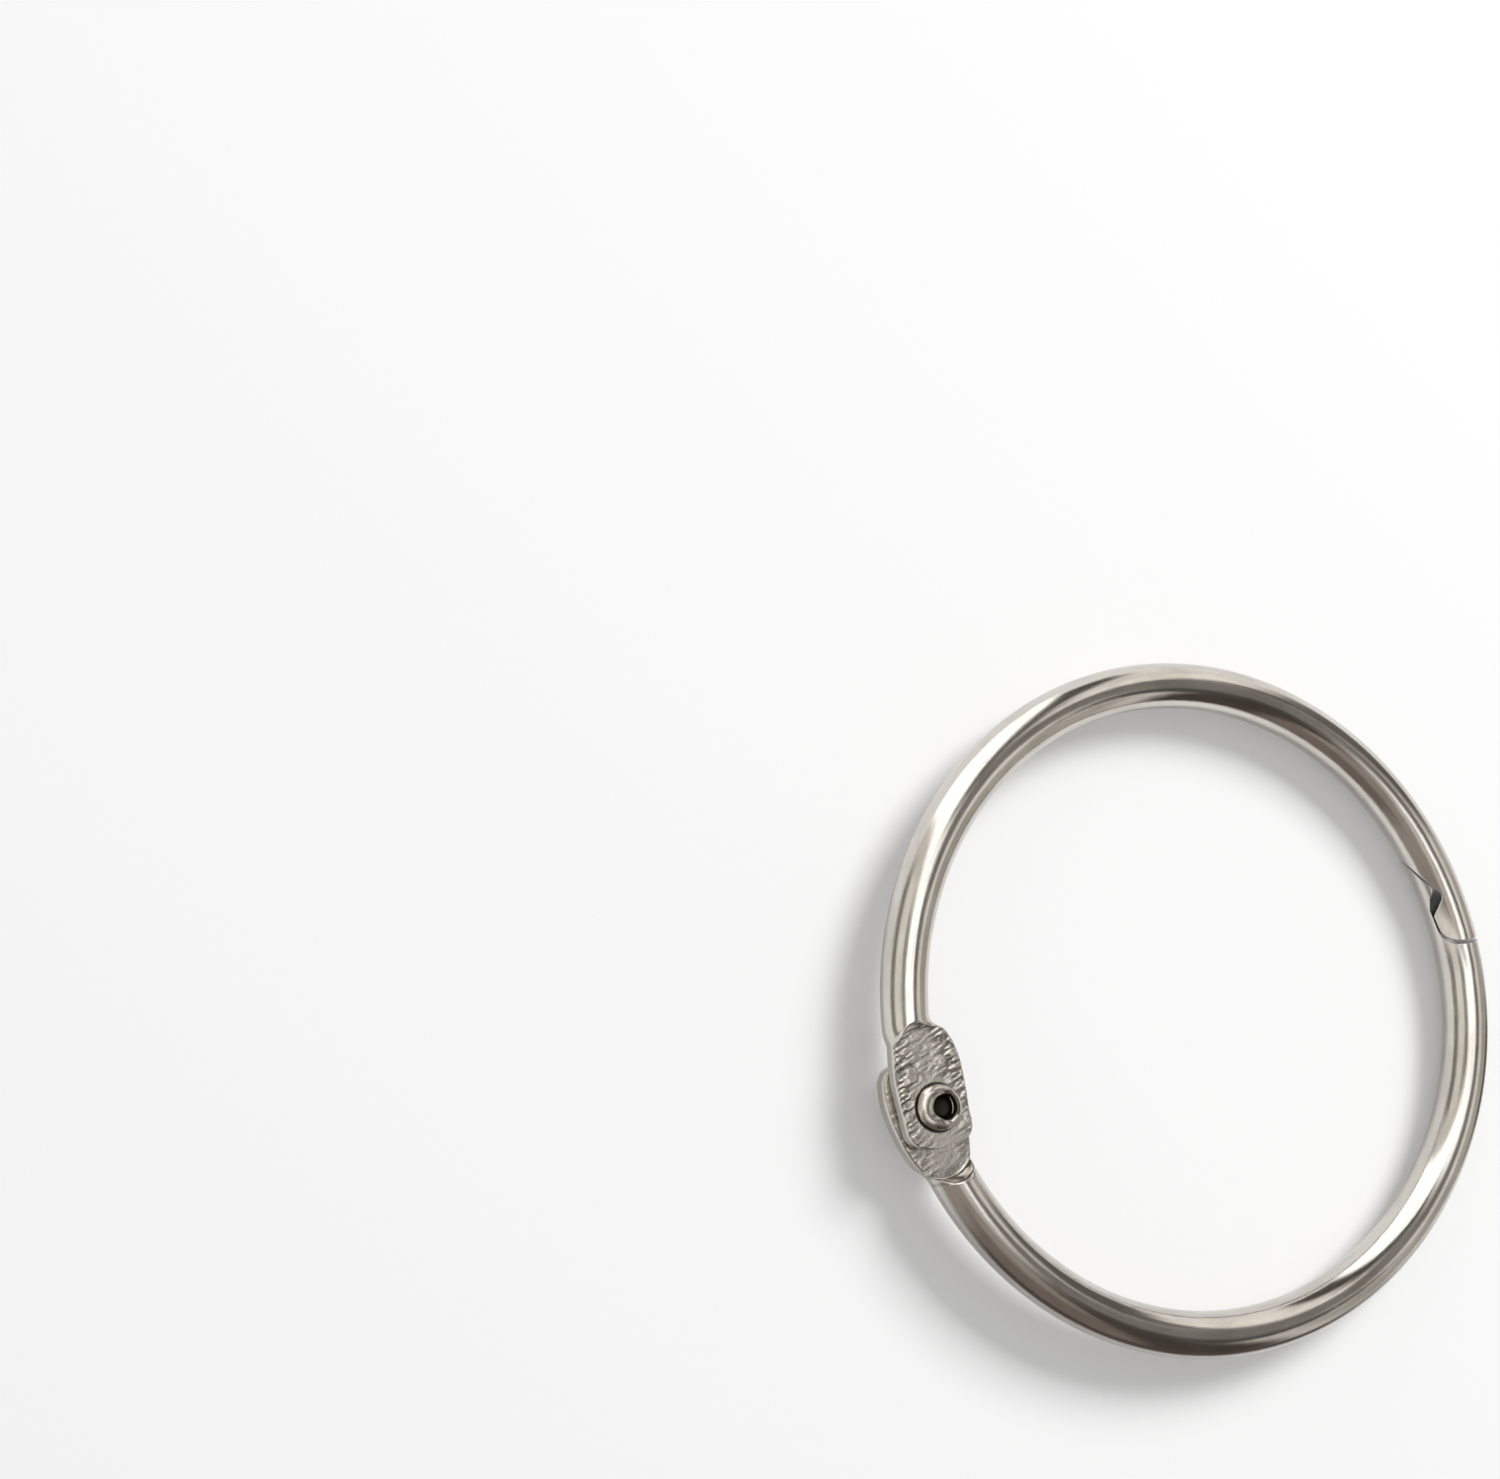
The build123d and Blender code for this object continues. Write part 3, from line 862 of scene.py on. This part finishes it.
def make_dark_ground(floor, first, last, soft, steps=31):
    """Low backdrop outside the ring that only the metal sees, for the dark outer edge in the photograph."""
    near, full, far = (radius * MM for radius in (GROUND_NEAR, GROUND_FULL, GROUND_FAR))
    angles = np.radians(np.linspace(first - soft, last + soft, steps + 1))
    points = [(radius * math.cos(a), radius * math.sin(a), 0.0) for radius in (near, far) for a in angles]
    faces = [(k, steps + 1 + k, steps + 2 + k, k + 1) for k in range(steps)]
    mesh = bpy.data.meshes.new("dark_ground")
    mesh.from_pydata(points, [], faces)
    ground = add_object("dark_ground", mesh)
    ground.matrix_world = floor.matrix_world @ Matrix.Translation(Vector((-RIVET_X, 0, GROUND_LIFT)) * MM)
    show_only_to_metal(ground)
    material, n = plain_material("dark_ground")
    place = n.add("ShaderNodeSeparateXYZ")
    n.link(n.add("ShaderNodeTexCoord").outputs["Object"], place.inputs[0])
    x, y = place.outputs[0], place.outputs[1]
    azimuth = in_degrees(n, "ARCTAN2", y, x)
    radius = n.math("SQRT", n.math("ADD", n.math("MULTIPLY", x, x), n.math("MULTIPLY", y, y)))
    begun, ended = n.fade(azimuth, first, 2 * soft), n.fade(azimuth, last, 2 * soft, (1.0, 0.0))
    reached = n.range(radius, (near, full), (0.0, 1.0))
    share = n.math("MULTIPLY", n.math("MULTIPLY", begun, ended), reached)
    glow = n.add("ShaderNodeEmission")
    glow.inputs["Color"].default_value = GROUND_TONE
    clear = n.add("ShaderNodeBsdfTransparent").outputs[0]
    sides = n.mix_shaders(share, clear, glow.outputs[0])
    n.link(sides, n.add("ShaderNodeOutputMaterial").inputs["Surface"])
    mesh.materials.append(material)


def make_studio():
    """Round backdrop that only the metal sees: white, with the room's lamps and darker sides."""
    mesh = bpy.data.meshes.new("backdrop")
    work = bmesh.new()
    bmesh.ops.create_icosphere(work, subdivisions=5, radius=BACKDROP_R)
    work.to_mesh(mesh)
    work.free()
    dome = add_object("backdrop", mesh)
    show_only_to_metal(dome)
    material, n = plain_material("backdrop_panels")
    unit = n.add("ShaderNodeVectorMath", operation="NORMALIZE")
    split = n.add("ShaderNodeSeparateXYZ")
    n.link(n.add("ShaderNodeTexCoord").outputs["Object"], unit.inputs[0])
    n.link(unit.outputs[0], split.inputs[0])
    azimuth = in_degrees(n, "ARCTAN2", split.outputs[1], split.outputs[0])
    height = in_degrees(n, "ARCSINE", split.outputs[2])

    def panel(centre, half_width, low, high, soft):
        """Soft-edged patch of the backdrop between two heights, as a mask."""
        turned = n.math("WRAP", n.math("SUBTRACT", azimuth, float(centre)), 180.0, -180.0)
        sides = n.fade(n.math("ABSOLUTE", turned), half_width, soft, (1.0, 0.0))
        heights = n.math("MULTIPLY", n.fade(height, low, soft), n.fade(height, high, soft, (1.0, 0.0)))
        return n.math("MULTIPLY", sides, heights)

    colour = BACKDROP_TONE
    for patch, tone in PANELS:
        colour = n.mix(panel(*patch), colour, tone)
    glow = n.add("ShaderNodeEmission")
    n.link(colour, glow.inputs["Color"])
    n.link(glow.outputs[0], n.add("ShaderNodeOutputMaterial").inputs["Surface"])
    mesh.materials.append(material)


def make_world():
    """White to the camera and the metal, and an even soft light on the rest."""
    world = bpy.data.worlds.new("world")
    bpy.context.scene.world = world
    world.use_nodes = True
    world.node_tree.nodes.clear()
    n = Nodes(world.node_tree)
    background = n.add("ShaderNodeBackground")
    background.inputs["Color"].default_value = (1, 1, 1, 1)
    strength = n.math("MULTIPLY_ADD", seen_directly(n), WORLD_SEEN - WORLD_LIGHT, WORLD_LIGHT)
    n.link(strength, background.inputs["Strength"])
    n.link(background.outputs[0], n.add("ShaderNodeOutputWorld").inputs["Surface"])


def make_lamp(name, place, size, power):
    """Soft lamp aimed at the ring, place and size in metres. The metal shows the backdrop in its stead."""
    data = bpy.data.lights.new(name, "AREA")
    data.shape = "RECTANGLE"
    data.size, data.size_y = size
    data.energy = power
    lamp = add_object(name, data)
    lamp.location = place
    lamp.rotation_mode = "QUATERNION"
    lamp.rotation_quaternion = (-Vector(place)).to_track_quat("-Z", "Y")
    lamp.visible_glossy = False


floor = make_floor()
for first, last, soft in DARK_GROUNDS:
    make_dark_ground(floor, first, last, soft)
make_studio()
make_world()
make_lamp("window", place=(0.68, 0.42, 0.68), size=(0.5, 0.4), power=9.0)

bpy.context.scene.view_settings.view_transform = "Standard"
